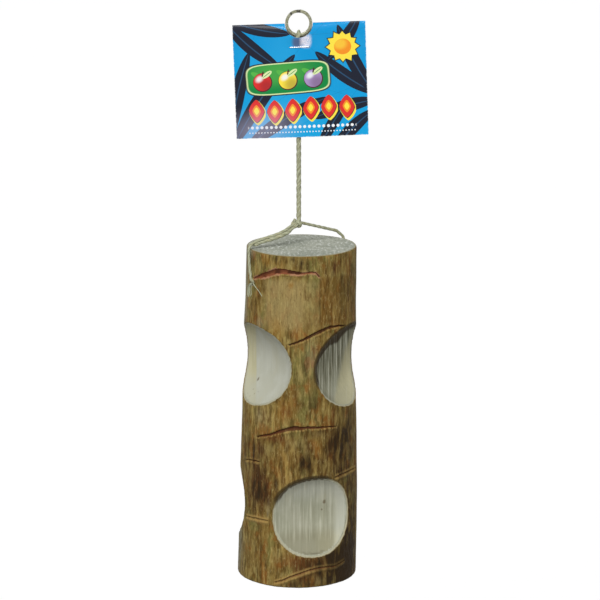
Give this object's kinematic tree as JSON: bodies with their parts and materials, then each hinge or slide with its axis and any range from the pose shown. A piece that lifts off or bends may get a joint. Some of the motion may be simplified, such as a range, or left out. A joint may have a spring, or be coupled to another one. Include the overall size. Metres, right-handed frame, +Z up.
{
  "type": "hanging bird toy",
  "caption": "Bark-covered soft-wood log with ground scoops, slung on twisted twine from a split ring with a folded, stapled header card, for cage birds to gnaw.",
  "frame": {"origin": "inner crown of the split ring, where a cage hook bears", "axes": "+Z up along the hanging line, -Y towards the front of the card, +X to the right seen from the front"},
  "size_m": [0.0859, 0.0766, 0.3674],
  "materials": {
    "ring_metal": "polished nickel",
    "twine": "matt natural fibre",
    "card": "gloss-coated printed card",
    "staple_metal": "bright wire",
    "wood": "bare, sawn and ground",
    "bark": "rough fibrous bark"
  },
  "bodies": {
    "ring": {"hang_ring": "ring_metal"},
    "bight": {"ring_bight": "twine"},
    "line": {"twine_strand_a": "twine", "twine_strand_b": "twine"},
    "card": {"header_card": "card", "card_staple": "staple_metal"},
    "knot": {"bridle_knot": "twine"},
    "log": {"bridle_twine": "twine", "knot_tail": "twine", "wood_core": "wood", "bark": "bark"}
  },
  "joints": [
    {"name": "bight_round_ring", "type": "hinge", "parent": "ring", "child": "bight", "pos_m": [0, 0, -0.0066], "axis": [0, 1, 0], "range_deg": [-30, 30]},
    {"name": "line_fore_aft", "type": "hinge", "parent": "bight", "child": "line", "pos_m": [0, 0, -0.01415], "axis": [1, 0, 0], "range_deg": [-20, 20]},
    {"name": "card_slide", "type": "slide", "parent": "line", "child": "card", "axis": [0, 0, 1], "range_m": [-0.03, 0]},
    {"name": "log_twist", "type": "hinge", "parent": "line", "child": "knot", "pos_m": [0, 0, -0.13385], "axis": [0, 0, 1], "range_deg": [-180, 180]},
    {"name": "log_rock", "type": "hinge", "parent": "knot", "child": "log", "pos_m": [0, 0, -0.13385], "axis": [0.866, 0.5, 0], "range_deg": [-20, 20]}
  ]
}
